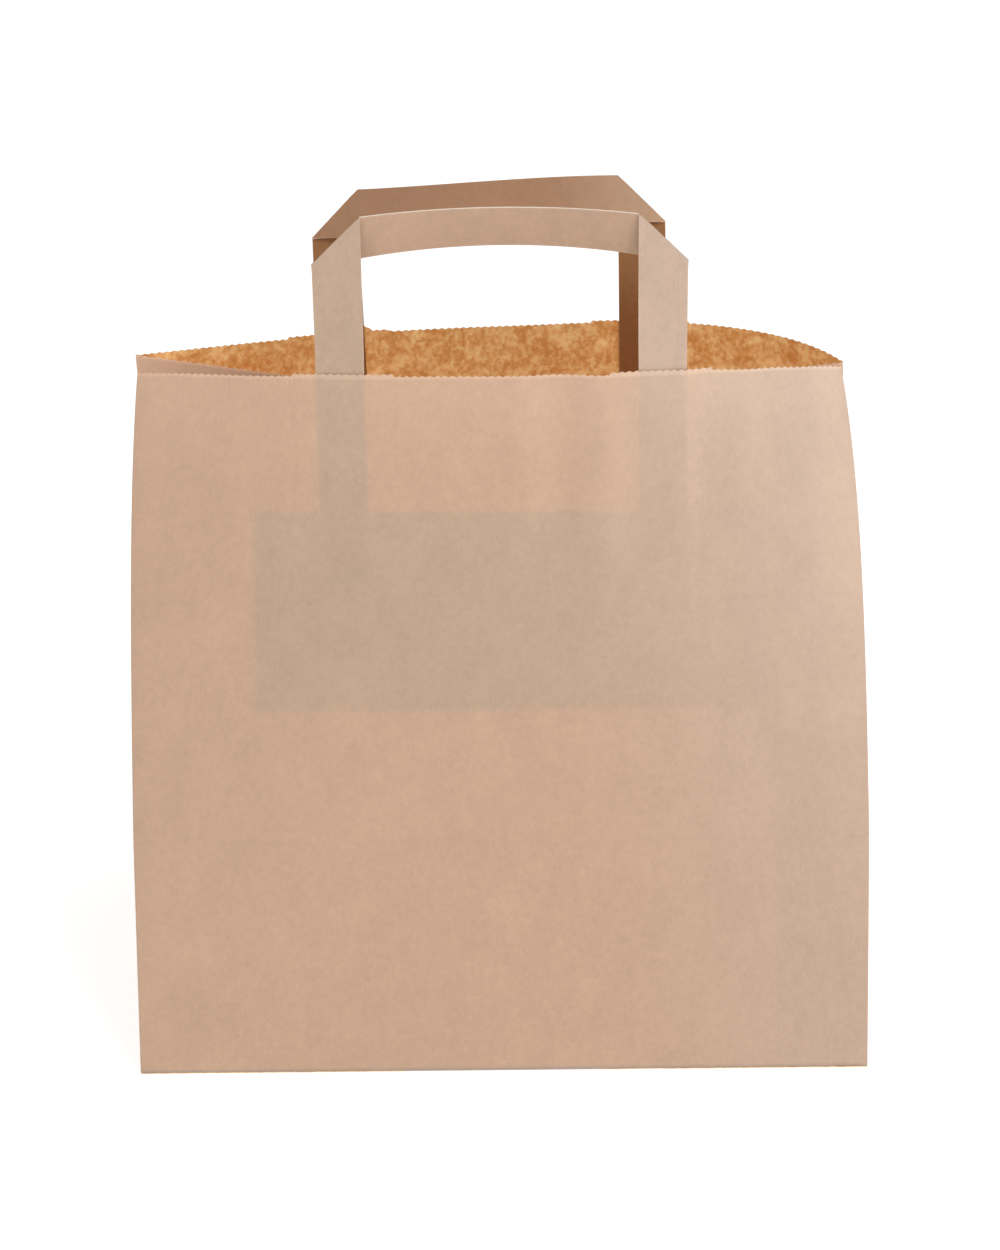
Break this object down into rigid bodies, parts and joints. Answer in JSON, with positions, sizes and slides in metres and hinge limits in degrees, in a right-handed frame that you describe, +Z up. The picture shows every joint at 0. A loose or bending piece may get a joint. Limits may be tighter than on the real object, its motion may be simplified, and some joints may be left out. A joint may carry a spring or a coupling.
{
  "type": "paper carrier bag",
  "caption": "Unprinted brown kraft paper carrier bag with flat folded paper handles, gussets and a block bottom, standing open.",
  "frame": {"origin": "under the middle of the base, on the surface that the bag stands on", "axes": "+Z up; -Y towards the front panel, the one that carries the lengthwise seam; +X towards the right gusset as seen from the front"},
  "size_m": [0.26, 0.17, 0.3015],
  "materials": {
    "kraft": "matt, machine-glazed outside, rough inside",
    "handle_kraft": "matt"
  },
  "bodies": {
    "root": {"bag_body": "kraft", "front_handle": "handle_kraft", "back_handle": "handle_kraft", "front_patch": "kraft", "back_patch": "kraft"}
  },
  "joints": []
}
